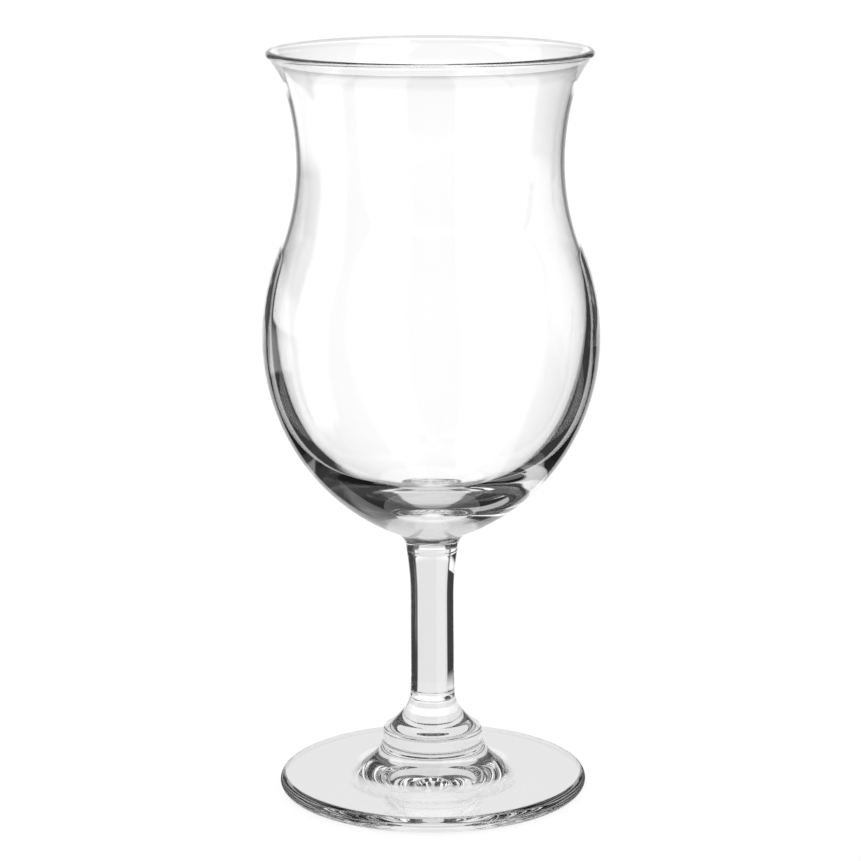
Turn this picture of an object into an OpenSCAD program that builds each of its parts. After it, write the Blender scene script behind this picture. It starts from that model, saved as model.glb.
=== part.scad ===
// Hurricane glass: a blown bowl, a drawn stem and a pressed foot, fused end to end.
// Z is the axis of the glass. The foot stands on z = 0.

/* [Foot] */
// Diameter of the foot
foot_d = 76.9; // [70:0.1:84]
// Thickness of the foot at its round edge
foot_edge_t = 3.8; // [3:0.1:4.6]
// Slope of the flat outer part of the foot's top, in degrees
foot_slope = 2; // [0:0.5:4]
// Height of the foot with its collar, up to the weld with the stem
foot_h = 23; // [21:0.1:26]
// Diameter of the collar
collar_d = 24.9; // [22:0.1:28]
// Height of the collar's lower edge, where the sweep of the foot ends
collar_up = 11.3; // [10:0.1:12.5]
// Steepness of the sweep where it ends at the collar, in degrees
sweep_deg = 70; // [60:1:80]
// Width of the ledge that the sweep leaves round the collar
ledge_w = 0.3; // [0.2:0.05:0.6]
// Height of the collar's shoulder above that edge
shoulder_up = 4.2; // [3:0.1:6]
// Radius of the round on the shoulder
shoulder_round = 1.2; // [0.8:0.1:1.5]
// How much flatter the collar's cone leaves the shoulder than the straight line to the neck, in degrees
cone_hollow_deg = 26; // [10:1:36]

/* [Underside of the foot] */
// Width of the flat ring that the glass stands on
stand_w = 3; // [2:0.1:5]
// Rise of the underside from the stand ring to the hollow in the middle
dish_h = 0.8; // [0.4:0.1:1.4]
// Diameter of the hollow in the middle
hollow_d = 28; // [20:0.5:34]
// Depth of that hollow
hollow_h = 3; // [1.5:0.1:5]

/* [Stem] */
// Length of the stem between its two welds
stem_h = 38.2; // [26:0.1:60]
// Diameter of the stem's rod
stem_d = 10.8; // [9:0.1:13]
// How far the stem's lower end stands proud of the rod
swell_w = 0.2; // [0.1:0.05:0.6]
// Height over which that swelling dies away into the rod
swell_h = 8; // [5:0.5:11]
// How far the stem widens towards the bowl
throat_w = 0.95; // [0.5:0.05:2]
// Height over which it widens
throat_h = 11.8; // [8:0.2:14]
// Edge round beside the weld of stem and foot, on the stem
foot_weld_round = 0.35; // [0.2:0.05:0.6]
// Edge round beside the same weld, on the foot's neck
neck_round = 0.65; // [0.4:0.05:1]
// Edge round beside the weld of stem and bowl
bowl_weld_round = 0.15; // [0.1:0.05:0.4]

/* [Outside of the bowl] */
// Height of the bowl from its weld to the lip
bowl_h = 123.8; // [116:0.1:132]
// Thickness of the fire-rounded lip
lip_t = 1.95; // [1.6:0.05:2.3]
// How far the middle of the lip stands out from the line of the flare
lip_out = 0.36; // [0.2:0.02:1]
// Depth below the lip at which the flare turns out towards it
lip_turn_h = 7; // [5.5:0.1:9]
// How far the wall has flared out at that turn, beyond the waist
flare_w = 3.3; // [2:0.1:5]
// Diameter of the waist
waist_d = 65.9; // [58:0.1:76]
// Depth of the waist below the lip
waist_down = 27; // [22:0.1:34]
// How far the belly stands out beyond the waist
belly_w = 8.45; // [6:0.05:12]
// Height of the belly above the weld
belly_up = 53.7; // [46:0.1:62]
// Share of the curve from waist to belly that is hollow before it turns round
swell_share = 0.51; // [0.4:0.01:0.6]
// Radius of the wall just below the belly
low_wall_r = 54.7; // [46:0.1:64]
// How far that wall turns before the rounder underside starts, in degrees
low_wall_deg = 27.3; // [22:0.1:32]
// Radius of the fillet from the underside into the throat
throat_fillet_r = 5; // [3:0.1:8]

/* [Inside of the bowl] */
// Wall at the waist and up to the lip
wall_t = 1.35; // [1:0.05:1.7]
// Wall at the belly
belly_wall_t = 2.9; // [2:0.1:4]
// How much higher the inside is widest than the outside
inner_belly_rise = 4.1; // [2:0.1:6]
// Thickness of the solid base above the weld
base_t = 15.4; // [11:0.1:19]
// Fullness of the inside below its widest place: 2 is an ellipse, more is nearer a cylinder
side_fullness = 1.9; // [1.7:0.05:2.4]
// Fullness of the floor inside the bowl: 2 is an ellipse, more is flatter
floor_fullness = 2.8; // [2:0.05:3.2]

/* [Hidden] */
// How far the straight steps of an outline may lie off the true curve
curve_gap = 0.015;
// Points nearer together than this count as one point
same_point = 0.0005;
round_steps = 144;
glass_tint = [0.87, 0.91, 0.92];

edge_r = foot_edge_t / 2;
foot_r = foot_d / 2;
collar_r = collar_d / 2;
hollow_r = hollow_d / 2;
stem_r = stem_d / 2;
throat_r = stem_r + throat_w;
weld_r = stem_r + swell_w - foot_weld_round;
weld_up = foot_h + stem_h;
lip_r = lip_t / 2;
waist = [waist_d / 2, bowl_h - waist_down];
belly = [waist[0] + belly_w, belly_up];
inner_belly = belly + [-belly_wall_t, inner_belly_rise];

// The flare above the waist is one arc, upright at the waist, whose centre lies outside the bowl
lip_turn = [waist[0] + flare_w, bowl_h - lip_turn_h];
flare_r = radius_through(waist, [1, 0], lip_turn);
flare_c = waist + [flare_r, 0];
// From the turn, the flare's centre lies along out and the flare runs on along up
out = unit(flare_c - lip_turn);
up = [-out[1], out[0]];
lip_rise = (lip_turn_h - lip_r - lip_out * out[1]) / up[1];
lip_c = lip_turn + lip_out * out + lip_rise * up;
// The hollow of the waist below it, on the outer face
waist_r = swell_share * both_radii(waist, belly);
// Number of steps in the curve from the inner belly to the floor
floor_steps = 40;

function unit(v) = v / norm(v);
function heading(v) = atan2(v[1], v[0]);
function full_heading(v) = 360 + heading(v);
function on_circle(c, r, a) = c + r * [cos(a), sin(a)];
function steps_for(r, turn) = max(2, ceil(abs(turn) / (2 * acos(1 - curve_gap / r))));

// Points of an arc about c from angle a to angle b, both ends included
function arc(c, r, a, b) =
    let (steps = steps_for(r, b - a))
    [for (i = [0 : steps]) on_circle(c, r, a + (b - a) * i / steps)];

// Radius of the arc that leaves p, with its centre on the ray p + t * u, and passes through q
function radius_through(p, u, q) = (q - p) * (q - p) / (2 * (q - p) * u);

// Radius of the arc that leaves p in the same way and touches a circle of radius r about c:
// from outside for a positive r, and with that circle about or inside it for a negative one
function radius_touching(p, u, c, r) = ((p - c) * (p - c) - r * r) / (2 * (r - (p - c) * u));

// Two arcs that are upright at p above and at q below and touch in between share this sum of radii
function both_radii(p, q) = (q - p) * (q - p) / (2 * (q[0] - p[0]));

// The two arcs: hollow from p, then round into q
function s_curve(p, q, r) =
    let (
        r_round = both_radii(p, q) - r,
        c = p + [r, 0],
        c_round = q - [r_round, 0],
        a = full_heading(c_round - c)
    )
    concat(arc(c, r, 180, a), arc(c_round, r_round, a - 180, 0));

function backwards(points) = [for (i = [len(points) - 1 : -1 : 0]) points[i]];
function without_repeats(points) = [
    for (i = [0 : len(points) - 1])
        if (norm(points[i] - points[(i + 1) % len(points)]) > same_point) points[i]
];

// The inside from the middle of the floor up to its widest place, a quarter of a rounded oblong
function bowl_floor() =
    [for (i = [0 : floor_steps])
        let (a = 90 * (1 - i / floor_steps))
        [
            inner_belly[0] * pow(cos(a), 2 / floor_fullness),
            inner_belly[1] - (inner_belly[1] - base_t) * pow(sin(a), 2 / side_fullness)
        ]
    ];

// Inside of the bowl, from the middle of the floor up to the top of the lip
function bowl_inside() =
    let (
        turn = lip_turn - wall_t * out,
        turn_r = radius_touching(turn, out, lip_c, -lip_r),
        turn_c = turn + turn_r * out
    )
    concat(
        bowl_floor(),
        backwards(s_curve(waist - [wall_t, 0], inner_belly, waist_r + wall_t)),
        arc(flare_c, flare_r + wall_t, 180, heading(-out)),
        arc(turn_c, turn_r, heading(-out), heading(lip_c - turn_c)),
        arc(lip_c, lip_r, heading(lip_c - turn_c), 90)
    );

// Outside of the bowl, from the top of the lip down to the weld
function bowl_outside() =
    let (
        turn_r = radius_touching(lip_turn, out, lip_c, lip_r),
        turn_c = lip_turn + turn_r * out,
        wall_c = belly - [low_wall_r, 0],
        wall_end = on_circle(wall_c, low_wall_r, -low_wall_deg),
        under_u = unit(wall_c - wall_end),
        fillet_c = [throat_r + throat_fillet_r, bowl_weld_round],
        under_r = radius_touching(wall_end, under_u, fillet_c, throat_fillet_r),
        under_c = wall_end + under_r * under_u,
        under_end = heading(fillet_c - under_c)
    )
    concat(
        arc(lip_c, lip_r, 90, heading(turn_c - lip_c)),
        arc(turn_c, turn_r, heading(lip_c - turn_c), heading(-out)),
        arc(flare_c, flare_r, heading(-out), 180),
        s_curve(waist, belly, waist_r),
        arc(wall_c, low_wall_r, 0, -low_wall_deg),
        arc(under_c, under_r, -low_wall_deg, under_end),
        arc(fillet_c, throat_fillet_r, under_end + 180, 180),
        arc([throat_r - bowl_weld_round, bowl_weld_round], bowl_weld_round, 0, -90),
        [[0, 0]]
    );

// Stem, from the middle of its lower weld outwards and up
function stem_outline() =
    let (
        low = [stem_r + swell_w, foot_weld_round],
        low_rod = [stem_r, swell_h],
        low_r = radius_through(low_rod, [1, 0], low),
        low_c = low_rod + [low_r, 0],
        top = [throat_r, stem_h - bowl_weld_round],
        top_rod = [stem_r, stem_h - throat_h],
        top_r = radius_through(top_rod, [1, 0], top),
        top_c = top_rod + [top_r, 0]
    )
    concat(
        [[0, 0]],
        arc([weld_r, foot_weld_round], foot_weld_round, -90, 0),
        arc(low_c, low_r, full_heading(low - low_c), 180),
        arc(top_c, top_r, 180, heading(top - top_c)),
        arc([throat_r - bowl_weld_round, stem_h - bowl_weld_round], bowl_weld_round, 0, 90),
        [[0, stem_h]]
    );

// Underside of the foot, from the top of its middle hollow out to the stand ring
function foot_underside() =
    let (
        rim = [hollow_r, dish_h],
        top = [0, dish_h + hollow_h],
        dome_r = radius_through(top, [0, -1], rim),
        dome_c = top - [0, dome_r]
    )
    concat(arc(dome_c, dome_r, 90, heading(rim - dome_c)), [[foot_r - edge_r - stand_w, 0]]);

// Top of the foot: round edge, flat, sweep up to the collar, shoulder, cone and neck
function foot_top() =
    let (
        edge_c = [foot_r - edge_r, edge_r],
        flat = on_circle(edge_c, edge_r, 90 - foot_slope),
        sweep = [collar_r + ledge_w, collar_up],
        // Distance of the sweep's end from the line of the flat, which sets the sweep's radius
        off = (sweep - flat) * [sin(foot_slope), cos(foot_slope)],
        sweep_r = off / (1 - cos(sweep_deg - foot_slope)),
        sweep_c = sweep + sweep_r * [sin(sweep_deg), cos(sweep_deg)],
        shoulder_c = [collar_r - shoulder_round, collar_up + shoulder_up - shoulder_round],
        neck = [weld_r + neck_round, foot_h - neck_round],
        cone_deg = heading(neck - shoulder_c) - 90 + cone_hollow_deg,
        cone = on_circle(shoulder_c, shoulder_round, cone_deg),
        cone_u = [cos(cone_deg), sin(cone_deg)],
        cone_r = radius_through(cone, cone_u, neck),
        cone_c = cone + cone_r * cone_u
    )
    concat(
        arc(edge_c, edge_r, -90, 90 - foot_slope),
        arc(sweep_c, sweep_r, -90 - foot_slope, -90 - sweep_deg),
        arc(sweep + [0, ledge_w], ledge_w, -90, -180),
        arc(shoulder_c, shoulder_round, 0, cone_deg),
        arc(cone_c, cone_r, 180 + cone_deg, full_heading(neck - cone_c)),
        arc([weld_r, foot_h - neck_round], neck_round, 0, 90),
        [[0, foot_h]]
    );

module turned(points) {
    rotate_extrude($fn = round_steps) polygon(without_repeats(points));
}

// Blown bowl: flared lip, waist, round belly and a solid base that ends in the throat
module bowl() {
    color(glass_tint) translate([0, 0, weld_up]) turned(concat(bowl_inside(), bowl_outside()));
}

// Solid drawn stem, fused to the foot below and to the bowl above
module stem() {
    color(glass_tint) translate([0, 0, foot_h]) turned(stem_outline());
}

// Pressed foot with its stepped collar
module foot() {
    color(glass_tint) turned(concat(foot_underside(), foot_top()));
}

bowl();
stem();
foot();
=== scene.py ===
"""Looks of the hurricane glass: a blown bowl, a drawn stem and a pressed foot of clear glass."""

import math

import bpy
import numpy as np
from mathutils import Matrix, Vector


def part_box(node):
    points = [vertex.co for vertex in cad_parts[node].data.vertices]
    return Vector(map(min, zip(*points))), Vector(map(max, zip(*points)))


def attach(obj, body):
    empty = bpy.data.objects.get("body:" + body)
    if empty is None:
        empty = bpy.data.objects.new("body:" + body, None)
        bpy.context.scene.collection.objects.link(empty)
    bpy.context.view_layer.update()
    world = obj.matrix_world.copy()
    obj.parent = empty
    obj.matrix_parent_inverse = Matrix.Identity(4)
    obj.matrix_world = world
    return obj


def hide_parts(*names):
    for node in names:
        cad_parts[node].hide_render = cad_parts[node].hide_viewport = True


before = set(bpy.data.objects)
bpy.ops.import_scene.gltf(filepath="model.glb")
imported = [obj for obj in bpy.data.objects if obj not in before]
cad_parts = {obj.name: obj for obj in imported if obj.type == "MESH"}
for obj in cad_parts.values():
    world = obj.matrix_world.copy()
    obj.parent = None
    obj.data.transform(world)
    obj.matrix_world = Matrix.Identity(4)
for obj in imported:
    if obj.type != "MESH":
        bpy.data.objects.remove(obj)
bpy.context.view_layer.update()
scene = bpy.context.scene

# Camera. It stands where the photograph was taken from, worked out from the outline of the glass:
# almost four heights away, a third of a height above the lip, looking down at the glass.
glass_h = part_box("bowl")[1][2]
photo_px = 861
focal_px = 3027.74
sensor_mm = 36
camera_away = 3.9447 * glass_h
camera_up = 1.35096 * glass_h
off_middle_px = 1.109
camera_left = off_middle_px / focal_px * camera_away
camera_down_rad = 0.2141
camera_roll_rad = -0.004
nearest_seen = 0.01

camera_data = bpy.data.cameras.new("camera")
camera_data.sensor_width = sensor_mm
camera_data.lens = focal_px * sensor_mm / photo_px
camera_data.clip_start = nearest_seen
camera = bpy.data.objects.new("camera", camera_data)
scene.collection.objects.link(camera)
camera.matrix_world = (
    Matrix.Translation((-camera_left, -camera_away, camera_up))
    @ Matrix.Rotation(math.pi / 2 - camera_down_rad, 4, "X")
    @ Matrix.Rotation(camera_roll_rad, 4, "Z")
)
scene.camera = camera

# Foot. Pressed in a mould from a gather of clear glass: a round-edged disc that sweeps up to a
# collar with a shoulder and a hollow cone. It stands on a flat ring and is hollow in the middle.
mm = 0.001
foot_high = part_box("foot")[1]
foot_r = foot_high[0]
foot_h = foot_high[2]
foot_edge_r = 1.9 * mm
foot_slope = 2.0
collar_r = 12.45 * mm
collar_up = 11.3 * mm
sweep_deg = 70.0
ledge_w = 0.3 * mm
shoulder_up = 4.2 * mm
shoulder_round = 1.2 * mm
cone_hollow_deg = 26.0
neck_round = 0.65 * mm
foot_weld_r = 5.25 * mm
stand_w = 3.0 * mm
dish_h = 0.8 * mm
hollow_reach = 22.4 * mm
hollow_h = 3.0 * mm
hollow_steps = 80
outline_gap = 0.002 * mm
outline_step = 0.7 * mm
fewest_arc_steps = 3
round_steps = 160
same_point = 0.0005 * mm
merge_within = 0.0001 * mm
half_a_point = 0.5
grid_slot = 0  # the empty material slot that comes with the grid


def point(x, z):
    """A point of an outline: how far from the axis, and how high."""
    return np.array([x, z], float)


def heading(v):
    """Direction of a step, in degrees."""
    return math.degrees(math.atan2(v[1], v[0]))


def full_heading(v):
    """The same direction, one turn on."""
    return 360 + heading(v)


def at_angle(deg):
    """A step of length 1 in a direction."""
    return point(math.cos(math.radians(deg)), math.sin(math.radians(deg)))


def unit(v):
    """The same step, made 1 long."""
    return v / np.linalg.norm(v)


def arc(c, r, a, b):
    """Points of an arc about c from angle a to angle b."""
    step = 2 * math.degrees(math.acos(1 - outline_gap / r))
    steps = max(fewest_arc_steps, math.ceil(abs(b - a) / step))
    return [c + r * at_angle(a + (b - a) * i / steps) for i in range(steps + 1)]


def radius_through(p, u, q):
    """Radius of the arc that leaves p with its centre along u and passes through q."""
    d = q - p
    return d @ d / (2 * (d @ u))


def radius_touching(p, u, c, r):
    """Radius of such an arc that touches the circle about c, inside it where r is negative."""
    w = p - c
    return (w @ w - r * r) / (2 * (r - w @ u))


def fine(points):
    """The same outline with no step longer than outline_step and no point twice."""
    out = [points[0]]
    for p in points[1:]:
        gap = np.linalg.norm(p - out[-1])
        if gap < same_point:
            continue
        n = max(1, math.ceil(gap / outline_step))
        start = out[-1]
        out += [start + (p - start) * i / n for i in range(1, n + 1)]
    return out


def add(tree, kind, settings=None, **links):
    """Add a node with its settings and inputs, where a socket is a link and all else is a value.

    An input is given by its name, with _ for a space, or by _ and its number.
    """
    node = tree.nodes.new(kind)
    for key, value in (settings or {}).items():
        setattr(node, key, value)
    for key, value in links.items():
        by_number = key[1:].isdigit()
        socket = node.inputs[int(key[1:]) if by_number else key.replace("_", " ")]
        if isinstance(value, bpy.types.NodeSocket):
            tree.links.new(value, socket)
        else:
            socket.default_value = value
    return node


def turning_tree():
    """Turn an outline, given as a row of points in the XZ plane, about Z into a closed solid."""
    tree = bpy.data.node_groups.new("turn an outline", "GeometryNodeTree")
    side = tree.interface
    side.new_socket("Outline", in_out="INPUT", socket_type="NodeSocketGeometry")
    for label, kind in (
        ("Steps round", "NodeSocketInt"),
        ("Weld below", "NodeSocketFloat"),
        ("Weld above", "NodeSocketFloat"),
        ("Merge within", "NodeSocketFloat"),
        ("Glass", "NodeSocketMaterial"),
        ("Weld", "NodeSocketMaterial"),
    ):
        side.new_socket(label, in_out="INPUT", socket_type=kind)
    side.new_socket("Solid", in_out="OUTPUT", socket_type="NodeSocketGeometry")
    given = add(tree, "NodeGroupInput").outputs
    outline = given["Outline"]
    steps = given["Steps round"]
    place = add(tree, "GeometryNodeInputPosition").outputs[0]

    # A grid with one row of points for each step round, and in it a point for each of the outline's
    rings = add(tree, "GeometryNodeAttributeDomainSize", Geometry=outline).outputs["Point Count"]
    across = add(tree, "ShaderNodeMath", {"operation": "ADD"}, _0=steps, _1=1.0).outputs[0]
    grid = add(tree, "GeometryNodeMeshGrid", Vertices_X=across, Vertices_Y=rings).outputs["Mesh"]
    index = add(tree, "GeometryNodeInputIndex").outputs[0]
    ring = add(tree, "ShaderNodeMath", {"operation": "MODULO"}, _0=index, _1=rings).outputs[0]

    # Half a point more, so that no rounding puts the first point of a row in the row before it
    row = add(tree, "ShaderNodeMath", {"operation": "ADD"}, _0=index, _1=half_a_point).outputs[0]
    row = add(tree, "ShaderNodeMath", {"operation": "DIVIDE"}, _0=row, _1=rings).outputs[0]
    row = add(tree, "ShaderNodeMath", {"operation": "FLOOR"}, _0=row).outputs[0]
    angle = add(tree, "ShaderNodeMath", {"operation": "DIVIDE"}, _0=row, _1=steps).outputs[0]
    angle = add(tree, "ShaderNodeMath", {"operation": "MULTIPLY"}, _0=angle, _1=2 * math.pi).outputs[0]

    on_outline = add(
        tree,
        "GeometryNodeSampleIndex",
        {"data_type": "FLOAT_VECTOR"},
        Geometry=outline,
        Value=place,
        Index=ring,
    ).outputs["Value"]
    turned_place = add(
        tree, "ShaderNodeVectorRotate", {"rotation_type": "Z_AXIS"}, Vector=on_outline, Angle=angle
    ).outputs[0]
    solid = add(tree, "GeometryNodeSetPosition", Geometry=grid, Position=turned_place).outputs[0]
    solid = add(
        tree, "GeometryNodeMergeByDistance", Geometry=solid, Distance=given["Merge within"]
    ).outputs[0]

    # The flat faces of the welds have edges of their own, and the rest is smooth
    height = add(tree, "ShaderNodeSeparateXYZ", Vector=place).outputs[2]
    below, above = (
        add(
            tree, "ShaderNodeMath", {"operation": "COMPARE"}, _0=height, _1=given[weld], _2=same_point
        ).outputs[0]
        for weld in ("Weld below", "Weld above")
    )
    in_weld = add(tree, "ShaderNodeMath", {"operation": "MAXIMUM"}, _0=below, _1=above).outputs[0]
    smooth = add(tree, "ShaderNodeMath", {"operation": "SUBTRACT"}, _0=1.0, _1=in_weld).outputs[0]
    solid = add(
        tree, "GeometryNodeSetShadeSmooth", Geometry=solid, Selection=True, Shade_Smooth=smooth
    ).outputs[0]
    solid = add(tree, "GeometryNodeRealizeInstances", Geometry=solid).outputs[0]
    solid = add(tree, "GeometryNodeSetMaterial", Geometry=solid, Material=given["Glass"]).outputs[0]
    solid = add(
        tree, "GeometryNodeSetMaterial", Geometry=solid, Selection=in_weld, Material=given["Weld"]
    ).outputs[0]
    add(tree, "NodeGroupOutput", Solid=solid)
    return tree


def turned(name, points, rise, weld_below, weld_above, glass, weld):
    """One piece of glass turned from its outline, with its place in its mesh."""
    row = [(x, 0, z + rise) for x, z in fine(points)]
    mesh = bpy.data.meshes.new(name)
    mesh.from_pydata(row, [(i, i + 1) for i in range(len(row) - 1)], [])
    obj = bpy.data.objects.new(name, mesh)
    scene.collection.objects.link(obj)
    modifier = obj.modifiers.new("turning", "NODES")
    modifier.node_group = turning
    values = {
        "Steps round": round_steps,
        "Weld below": weld_below,
        "Weld above": weld_above,
        "Merge within": merge_within,
        "Glass": glass,
        "Weld": weld,
    }
    for item in turning.interface.items_tree:
        if item.name in values:
            modifier[item.identifier] = values[item.name]
    solid = obj.evaluated_get(bpy.context.evaluated_depsgraph_get())
    obj.data = bpy.data.meshes.new_from_object(solid)
    obj.data.name = name
    obj.data.materials.pop(index=grid_slot)
    obj.modifiers.clear()
    return obj


turning = turning_tree()


def srgb(hex_colour):
    """Linear RGBA of an sRGB hex colour."""
    parts = [int(hex_colour[i : i + 2], 16) / 255 for i in (1, 3, 5)]
    return tuple(p / 12.92 if p < 0.04045 else ((p + 0.055) / 1.055) ** 2.4 for p in parts) + (1,)


glass_tint = "#FEFEFE"
glass_index = 1.52
wave_detail = 1.0
wave_roughness = 0.4


def clear_glass(name, wave_w, upright_share, wave_h):
    """Clear glass whose faces carry faint waves, stretched upright where their share is below 1."""
    material = bpy.data.materials.new(name)
    material.use_nodes = True
    tree = material.node_tree
    tree.nodes.clear()
    place = add(tree, "ShaderNodeTexCoord").outputs["Object"]
    place = add(tree, "ShaderNodeMapping", Vector=place, Scale=(1, 1, upright_share)).outputs[0]
    waves = add(
        tree,
        "ShaderNodeTexNoise",
        Vector=place,
        Scale=1 / wave_w,
        Detail=wave_detail,
        Roughness=wave_roughness,
    )
    bump = add(tree, "ShaderNodeBump", Height=waves.outputs["Fac"], Strength=1.0, Distance=wave_h)
    glass = add(
        tree,
        "ShaderNodeBsdfPrincipled",
        Base_Color=srgb(glass_tint),
        Roughness=0.0,
        IOR=glass_index,
        Transmission_Weight=1.0,
        Normal=bump.outputs[0],
    )
    add(tree, "ShaderNodeOutputMaterial", Surface=glass.outputs[0])
    return material


def weld_material():
    """The inside of a weld: nothing to see, as the glass runs straight through."""
    material = bpy.data.materials.new("fused weld")
    material.use_nodes = True
    tree = material.node_tree
    tree.nodes.clear()
    clear = add(tree, "ShaderNodeBsdfTransparent")
    add(tree, "ShaderNodeOutputMaterial", Surface=clear.outputs[0])
    return material


# Pressed glass: clear, with the broad soft waves of a face that cooled against a mould
pressed_wave_w = 16.667 * mm
pressed_upright_share = 1.0
pressed_wave_h = 0.004 * mm
pressed_glass = clear_glass("pressed clear glass", pressed_wave_w, pressed_upright_share, pressed_wave_h)
# Fused glass: the flat faces inside a weld, which the eye doesn't see
fused = weld_material()

stand_inner_r = foot_r - foot_edge_r - stand_w
hollow = []
for step in range(hollow_steps + 1):
    across = hollow_reach * step / hollow_steps
    dish = dish_h * (1 - across / stand_inner_r)
    hollow.append(point(across, dish + hollow_h * (1 + math.cos(math.pi * step / hollow_steps)) / 2))
edge_c = point(foot_r - foot_edge_r, foot_edge_r)
flat_end = edge_c + foot_edge_r * at_angle(90 - foot_slope)
sweep_end = point(collar_r + ledge_w, collar_up)
slope_normal = point(math.sin(math.radians(foot_slope)), math.cos(math.radians(foot_slope)))
sweep_r = ((sweep_end - flat_end) @ slope_normal) / (1 - math.cos(math.radians(sweep_deg - foot_slope)))
sweep_c = sweep_end + sweep_r * point(math.sin(math.radians(sweep_deg)), math.cos(math.radians(sweep_deg)))
shoulder_c = point(collar_r - shoulder_round, collar_up + shoulder_up - shoulder_round)
neck = point(foot_weld_r + neck_round, foot_h - neck_round)
cone_deg = heading(neck - shoulder_c) - 90 + cone_hollow_deg
cone = shoulder_c + shoulder_round * at_angle(cone_deg)
cone_r = radius_through(cone, at_angle(cone_deg), neck)
cone_c = cone + cone_r * at_angle(cone_deg)
foot_outline = (
    hollow
    + [point(stand_inner_r, 0)]
    + arc(edge_c, foot_edge_r, -90, 90 - foot_slope)
    + arc(sweep_c, sweep_r, -90 - foot_slope, -90 - sweep_deg)
    + arc(sweep_end + point(0, ledge_w), ledge_w, -90, -180)
    + arc(shoulder_c, shoulder_round, 0, cone_deg)
    + arc(cone_c, cone_r, 180 + cone_deg, full_heading(neck - cone_c))
    + arc(point(foot_weld_r, foot_h - neck_round), neck_round, 0, 90)
    + [point(0, foot_h)]
)
foot = turned("foot_pressed", foot_outline, 0, foot_h, foot_h, pressed_glass, fused)
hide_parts("foot")
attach(foot, "root")

# Stem. A solid rod drawn from the hot bowl's base, with faint lines along it where it was drawn.
# It swells a little where it was fused to the foot and widens into the throat under the bowl.
stem_low, stem_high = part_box("stem")
stem_r = 5.4 * mm
throat_r = stem_high[0]
stem_h = stem_high[2] - stem_low[2]
swell_w = 0.2 * mm
swell_h = 8.0 * mm
throat_h = 11.8 * mm
stem_weld_round = 0.35 * mm
bowl_weld_round = 0.15 * mm

# Drawn glass: clear, with fine lines along the rod, as its skin was pulled out while it was soft
drawn_wave_w = 1.111 * mm
drawn_upright_share = 0.03
drawn_wave_h = 0.0015 * mm
drawn_glass = clear_glass("drawn clear glass", drawn_wave_w, drawn_upright_share, drawn_wave_h)

swell = point(stem_r + swell_w, stem_weld_round)
rod_low = point(stem_r, swell_h)
swell_r = radius_through(rod_low, point(1, 0), swell)
swell_c = rod_low + point(swell_r, 0)
throat = point(throat_r, stem_h - bowl_weld_round)
rod_high = point(stem_r, stem_h - throat_h)
throat_turn_r = radius_through(rod_high, point(1, 0), throat)
throat_turn_c = rod_high + point(throat_turn_r, 0)
stem_outline = (
    [point(0, 0)]
    + arc(point(foot_weld_r, stem_weld_round), stem_weld_round, -90, 0)
    + arc(swell_c, swell_r, full_heading(swell - swell_c), 180)
    + arc(throat_turn_c, throat_turn_r, 180, heading(throat - throat_turn_c))
    + arc(point(throat_r - bowl_weld_round, stem_h - bowl_weld_round), bowl_weld_round, 0, 90)
    + [point(0, stem_h)]
)
weld_up = foot_h + stem_h
stem = turned("stem_drawn", stem_outline, foot_h, foot_h, weld_up, drawn_glass, fused)
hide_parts("stem")
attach(stem, "root")

# Bowl. Blown and fire-polished: a rounded lip on a short flare, a drawn-in waist, a round belly
# and a thick solid base. The wall is thin at the waist and thickens down into the base.
bowl_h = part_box("bowl")[1][2] - weld_up
belly_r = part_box("bowl")[1][0]
lip_r = 0.975 * mm
lip_out = 0.36 * mm
lip_turn_h = 7.0 * mm
flare_w = 3.3 * mm
waist_down = 27.0 * mm
belly_w = 8.45 * mm
belly_up = 53.7 * mm
swell_share = 0.51
low_wall_r = 54.7 * mm
low_wall_deg = 27.3
throat_fillet_r = 5.0 * mm
wall_t = 1.35 * mm
belly_wall_t = 2.9 * mm
inner_belly_rise = 4.1 * mm
base_t = 15.4 * mm
side_fullness = 1.9
floor_fullness = 2.8
floor_steps = 120

# Blown glass: clear and fire-polished, with hardly a wave, so that what is behind it stays sharp
blown_wave_w = 22.222 * mm
blown_upright_share = 0.5
blown_wave_h = 0.001 * mm
blown_glass = clear_glass("blown clear glass", blown_wave_w, blown_upright_share, blown_wave_h)

waist = point(belly_r - belly_w, bowl_h - waist_down)
belly = point(belly_r, belly_up)
inner_belly = belly + point(-belly_wall_t, inner_belly_rise)
lip_turn = point(waist[0] + flare_w, bowl_h - lip_turn_h)
flare_r = radius_through(waist, point(1, 0), lip_turn)
flare_c = waist + point(flare_r, 0)
out = unit(flare_c - lip_turn)
up = point(-out[1], out[0])
lip_rise = (lip_turn_h - lip_r - lip_out * out[1]) / up[1]
lip_c = lip_turn + lip_out * out + lip_rise * up
belly_span = (belly - waist) @ (belly - waist) / (2 * belly_w)
waist_r = swell_share * belly_span


def s_curve(p, q, r):
    """Two touching arcs, upright at p above and at q below: hollow from p, then round into q."""
    d = q - p
    r_round = d @ d / (2 * d[0]) - r
    c = p + point(r, 0)
    c_round = q - point(r_round, 0)
    a = full_heading(c_round - c)
    return arc(c, r, 180, a) + arc(c_round, r_round, a - 180, 0)


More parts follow.
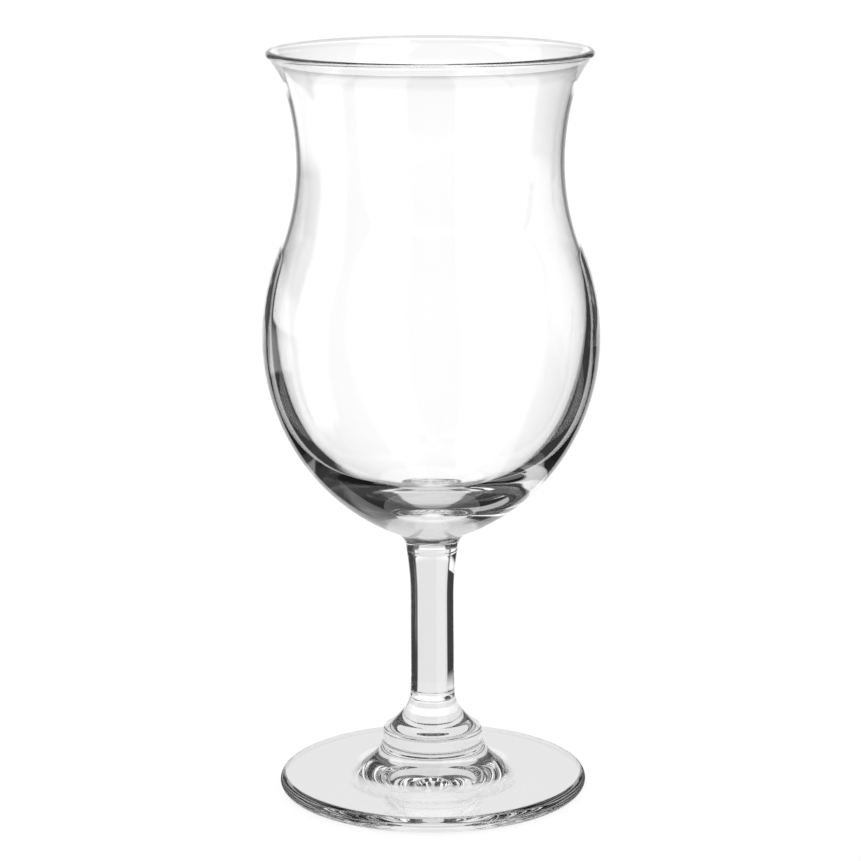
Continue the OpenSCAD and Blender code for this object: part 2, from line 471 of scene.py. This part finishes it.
inner_turn = lip_turn - wall_t * out
inner_turn_r = radius_touching(inner_turn, out, lip_c, -lip_r)
inner_turn_c = inner_turn + inner_turn_r * out
floor_curve = []
for step in range(floor_steps + 1):
    a = math.radians(90 * (1 - step / floor_steps))
    across = 0 if step == 0 else inner_belly[0] * math.cos(a) ** (2 / floor_fullness)
    floor_curve.append(
        point(across, inner_belly[1] - (inner_belly[1] - base_t) * math.sin(a) ** (2 / side_fullness))
    )
bowl_inside = (
    floor_curve
    + s_curve(waist - point(wall_t, 0), inner_belly, waist_r + wall_t)[::-1]
    + arc(flare_c, flare_r + wall_t, 180, heading(-out))
    + arc(inner_turn_c, inner_turn_r, heading(-out), heading(lip_c - inner_turn_c))
    + arc(lip_c, lip_r, heading(lip_c - inner_turn_c), 90)
)
lip_turn_r = radius_touching(lip_turn, out, lip_c, lip_r)
lip_turn_c = lip_turn + lip_turn_r * out
wall_c = belly - point(low_wall_r, 0)
wall_end = wall_c + low_wall_r * at_angle(-low_wall_deg)
under_u = unit(wall_c - wall_end)
fillet_c = point(throat_r + throat_fillet_r, bowl_weld_round)
under_r = radius_touching(wall_end, under_u, fillet_c, throat_fillet_r)
under_c = wall_end + under_r * under_u
under_end = heading(fillet_c - under_c)
bowl_outside = (
    arc(lip_c, lip_r, 90, heading(lip_turn_c - lip_c))
    + arc(lip_turn_c, lip_turn_r, heading(lip_c - lip_turn_c), heading(-out))
    + arc(flare_c, flare_r, heading(-out), 180)
    + s_curve(waist, belly, waist_r)
    + arc(wall_c, low_wall_r, 0, -low_wall_deg)
    + arc(under_c, under_r, -low_wall_deg, under_end)
    + arc(fillet_c, throat_fillet_r, under_end + 180, 180)
    + arc(point(throat_r - bowl_weld_round, bowl_weld_round), bowl_weld_round, 0, -90)
    + [point(0, 0)]
)
bowl_outline = (bowl_inside + bowl_outside)[::-1]
bowl = turned("bowl_blown", bowl_outline, weld_up, weld_up, weld_up, blown_glass, fused)
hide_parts("bowl")
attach(bowl, "root")

# Table and painted studio. The world and the floor glow plain white for the camera and for lit
# surfaces, and only the glass sees a studio for glassware painted into that glow: white paper under
# and behind it and dark cards to the sides of it, where the scene has neither. These are painted
# reflections and refractions: clear glass shows its edges by the painted cards that it bends into view.
# Angles are seen from the glass, 0 straight away from the camera; distances run along the floor.

# The white paper behind the glass, painted into the glow that only the glass sees: half its width near
# and far, a grey rim, and how bright it is
paper_half_deg = (32.0, 22.0)
paper_feather_deg = 4.0
paper_narrows_at = (0.70, 0.95)
half_tone_deg = (34.0, 36.0)
half_tone_feather_deg = 6.0
half_tone = 0.2
paper_light = 1.18
near_light = 0.85
paper_brightens_at = (0.50, 0.80)
far_light = 1.05
paper_dims_at = (1.2, 3.2)
wall_light = 0.72
wall_dims_over_deg = (0.0, 11.0)

# The dark cards, a dark glow painted where the scene has no cards: painted shade that only the glass
# sees. Far off, they are painted paler for a ray that comes through both walls of the bowl, as it has
# crossed four faces of glass: painted light.
painted_card_shade = 0.05
painted_far_card_light = 0.2
far_cards_at = (0.42, 0.60)
faces_of_bowl = (3.0, 4.0)

# White paper under the glass and in strips round it, painted into the glow that only the glass sees:
# the middle and half width of each, and its reach
under_glass_r = (0.0385, 0.0395)
left_deg = (-90.0, 15.0)
left_from = (0.12, 0.15)
behind_left_deg = (-45.0, 24.0)
behind_left_to = (0.065, 0.10)
behind_left_through_bowl_to = (0.42, 0.47)
far_left_deg = (-56.0, 20.0)
far_left_from = (0.40, 0.44)
far_left_to = (0.65, 1.5)
front_right_deg = (135.0, 24.0)
front_half_deg = (12.0, 21.0)
front_from = (0.055, 0.075)
strip_feather_deg = 4.0

# What the glass sees after it is mirrored again and again inside a thick edge is painted darker, a
# painted shade on its thick edges, but not what comes from the floor beyond the foot. The strip in front
# shows the glass clear from behind, and is painted so that what is mirrored even once doesn't see it.
painted_shade_over_mirrors = (6.0, 14.0)
beside_foot = (0.055, 0.065)
first_mirror = (0.0, 1.0)


def within(tree, light, *edges):
    """Light within soft edges: each is a value, the ends of its step, and the shares either side."""
    for value, ends, before, after in edges:
        share = add(
            tree,
            "ShaderNodeMapRange",
            {"interpolation_type": "SMOOTHSTEP"},
            _0=value,
            From_Min=ends[0],
            From_Max=ends[1],
            To_Min=before,
            To_Max=after,
        ).outputs[0]
        light = add(tree, "ShaderNodeMath", {"operation": "MULTIPLY"}, _0=light, _1=share).outputs[0]
    return light


def strip(tree, azimuth, middle_deg, half_deg, feather_deg, light):
    """An upright strip of painted paper about one direction, with soft sides."""
    off = add(tree, "ShaderNodeMath", {"operation": "SUBTRACT"}, _0=azimuth, _1=middle_deg).outputs[0]
    off = add(tree, "ShaderNodeMath", {"operation": "ABSOLUTE"}, _0=off).outputs[0]
    sides = [
        add(tree, "ShaderNodeMath", {"operation": way}, _0=half_deg, _1=feather_deg / 2).outputs[0]
        for way in ("SUBTRACT", "ADD")
    ]
    return within(tree, light, (off, sides, 1.0, 0.0))


def brighter(tree, *lights):
    """The brightest of some lights, as the paper in front hides what is behind."""
    best = lights[0]
    for light in lights[1:]:
        best = add(tree, "ShaderNodeMath", {"operation": "MAXIMUM"}, _0=best, _1=light).outputs[0]
    return best


def azimuth_of(tree, place, way):
    """The direction of a place in degrees, or the opposite one where the way is -1."""
    aim = add(tree, "ShaderNodeVectorMath", {"operation": "SCALE"}, _0=place, Scale=way).outputs[0]
    xyz = add(tree, "ShaderNodeSeparateXYZ", _0=aim).outputs
    turn = add(tree, "ShaderNodeMath", {"operation": "ARCTAN2"}, _0=xyz[0], _1=xyz[1]).outputs[0]
    return add(tree, "ShaderNodeMath", {"operation": "DEGREES"}, _0=turn).outputs[0]


def painted_studio(tree, place, on_floor):
    """What the glass sees of the painted studio, as painted reflections and refractions, in a direction
    from it or at a place on the floor.
    """
    ahead = azimuth_of(tree, place, 1.0)
    back = azimuth_of(tree, place, -1.0)
    rays = add(tree, "ShaderNodeLightPath").outputs
    through_bowl = (rays["Transmission Depth"], faces_of_bowl, 0.0, 1.0)
    not_mirrored = (rays["Glossy Depth"], first_mirror, 1.0, 0.0)
    # Painted shade: the glow fades for rays mirrored many times inside the glass
    painted_edge_shade = (rays["Glossy Depth"], painted_shade_over_mirrors, 1.0, 0.0)
    if on_floor:
        away = add(tree, "ShaderNodeVectorMath", {"operation": "LENGTH"}, _0=place).outputs["Value"]
        near = within(tree, 1.0, (away, paper_brightens_at, near_light, paper_light))
        # Seen through both walls of the bowl, the near paper is painted as bright as the paper further off:
        # painted light
        near = brighter(tree, near, within(tree, paper_light, through_bowl))
        far = within(tree, 1.0, (away, paper_dims_at, paper_light, far_light))
        amount = add(tree, "ShaderNodeMath", {"operation": "MINIMUM"}, _0=near, _1=far).outputs[0]
        half_deg = within(tree, 1.0, (away, paper_narrows_at, *paper_half_deg))
        tone_half_deg = within(tree, 1.0, (away, paper_narrows_at, *half_tone_deg))
        # Painted cards: a dark glow, painted paler far off for rays through both walls of the bowl
        painted_far_card = within(tree, painted_far_card_light, through_bowl, (away, far_cards_at, 0.0, 1.0))
        painted_card = brighter(tree, painted_far_card, painted_card_shade)
    else:
        up = add(tree, "ShaderNodeSeparateXYZ", _0=place).outputs[2]
        up = add(tree, "ShaderNodeMath", {"operation": "ARCSINE"}, _0=up).outputs[0]
        up = add(tree, "ShaderNodeMath", {"operation": "DEGREES"}, _0=up).outputs[0]
        amount = within(tree, 1.0, (up, wall_dims_over_deg, far_light, wall_light))
        half_deg, tone_half_deg = paper_half_deg[1], half_tone_deg[1]
        painted_card = painted_card_shade

    sheet = strip(tree, ahead, 0.0, half_deg, paper_feather_deg, amount)
    tone = strip(tree, ahead, 0.0, tone_half_deg, half_tone_feather_deg, amount)
    tone = add(tree, "ShaderNodeMath", {"operation": "MULTIPLY"}, _0=tone, _1=half_tone).outputs[0]
    left = strip(tree, ahead, *left_deg, strip_feather_deg, paper_light)
    front_right = strip(tree, ahead, *front_right_deg, strip_feather_deg, paper_light)
    front_deg = within(tree, 1.0, (rays["Transmission Depth"], faces_of_bowl, *front_half_deg))
    front_light = paper_light if on_floor else amount
    front = strip(tree, back, 0.0, front_deg, strip_feather_deg, front_light)
    front = within(tree, front, not_mirrored)
    if not on_floor:
        return within(tree, brighter(tree, sheet, tone, front_right, left, front, painted_card), painted_edge_shade)

    front = within(tree, front, (away, front_from, 0.0, 1.0))
    front_right = within(tree, front_right, (away, front_from, 0.0, 1.0))
    left = within(tree, left, (away, left_from, 0.0, 1.0))
    under = within(tree, near_light, (away, under_glass_r, 1.0, 0.0))
    reach = within(tree, near_light, (away, behind_left_to, 1.0, 0.0))
    bowl_reach = within(tree, paper_light, through_bowl, (away, behind_left_through_bowl_to, 1.0, 0.0))
    behind_left = strip(tree, ahead, *behind_left_deg, strip_feather_deg, brighter(tree, reach, bowl_reach))
    far_left = strip(tree, ahead, *far_left_deg, strip_feather_deg, paper_light)
    far_left = within(tree, far_left, (away, far_left_from, 0.0, 1.0), (away, far_left_to, 1.0, 0.0))
    light = brighter(tree, sheet, tone, front_right, left, front, under, behind_left, far_left, painted_card)
    share = brighter(tree, within(tree, 1.0, painted_edge_shade), within(tree, 1.0, (away, beside_foot, 0.0, 1.0)))
    return add(tree, "ShaderNodeMath", {"operation": "MULTIPLY"}, _0=light, _1=share).outputs[0]


def painted_for_glass(tree, plain, seen):
    """One value for plain light and another, painted, for what is seen in and through the glass."""
    rays = add(tree, "ShaderNodeLightPath").outputs
    glassy = add(
        tree,
        "ShaderNodeMath",
        {"operation": "MAXIMUM"},
        _0=rays["Is Glossy Ray"],
        _1=rays["Is Transmission Ray"],
    ).outputs[0]
    return add(tree, "ShaderNodeMix", {"data_type": "FLOAT"}, _0=glassy, _2=plain, _3=seen).outputs[0]


# White surroundings, lit evenly, and in place of them the painted studio that only the glass sees
surroundings_light = 1.0
white = (1, 1, 1, 1)
world = bpy.data.worlds.new("white studio")
scene.world = world
world.use_nodes = True
tree = world.node_tree
tree.nodes.clear()
direction = add(tree, "ShaderNodeTexCoord").outputs["Generated"]
light = painted_for_glass(tree, surroundings_light, painted_studio(tree, direction, False))
background = add(tree, "ShaderNodeBackground", Color=white, Strength=light)
add(tree, "ShaderNodeOutputWorld", Surface=background.outputs[0])

# White paper, lit from below and above: it reads white, and keeps a faint shadow where the foot stands
table_light = 0.86
table_colour = "#757575"
floor_half = 6.0
floor_down = 0.2 * mm
paper = bpy.data.materials.new("white paper")
paper.use_nodes = True
tree = paper.node_tree
tree.nodes.clear()
place = add(tree, "ShaderNodeNewGeometry").outputs["Position"]
# For the glass, the floor glows with the painted studio in place of plain light
light = painted_for_glass(tree, table_light, painted_studio(tree, place, True))
glow = add(tree, "ShaderNodeEmission", Color=white, Strength=light)
lit = add(tree, "ShaderNodeBsdfDiffuse", Color=srgb(table_colour))
rays = add(tree, "ShaderNodeLightPath").outputs
keeps_shadow = add(
    tree,
    "ShaderNodeMath",
    {"operation": "MAXIMUM"},
    _0=rays["Is Camera Ray"],
    _1=rays["Is Diffuse Ray"],
).outputs[0]
lit = add(tree, "ShaderNodeMixShader", _0=keeps_shadow, _2=lit.outputs[0])
both = add(tree, "ShaderNodeAddShader", _0=glow.outputs[0], _1=lit.outputs[0])
add(tree, "ShaderNodeOutputMaterial", Surface=both.outputs[0])

corners = [(-1, -1), (1, -1), (1, 1), (-1, 1)]
floor_points = [(x * floor_half, y * floor_half, -floor_down) for x, y in corners]
floor_mesh = bpy.data.meshes.new("paper")
floor_mesh.from_pydata(floor_points, [], [(0, 1, 2, 3)])
floor_mesh.materials.append(paper)
floor = bpy.data.objects.new("paper_floor", floor_mesh)
scene.collection.objects.link(floor)

# Light settings: light that enters the lip runs down inside the wall, mirrored many times on the way,
# and what stands behind the glass is seen through its two walls, its base and its foot.
mirrors = 256
faces_crossed = 64
welds_crossed = 16
scene.view_settings.view_transform = "Standard"
scene.cycles.max_bounces = mirrors
scene.cycles.transmission_bounces = faces_crossed
scene.cycles.glossy_bounces = mirrors
scene.cycles.transparent_max_bounces = welds_crossed
scene.cycles.use_denoising = True
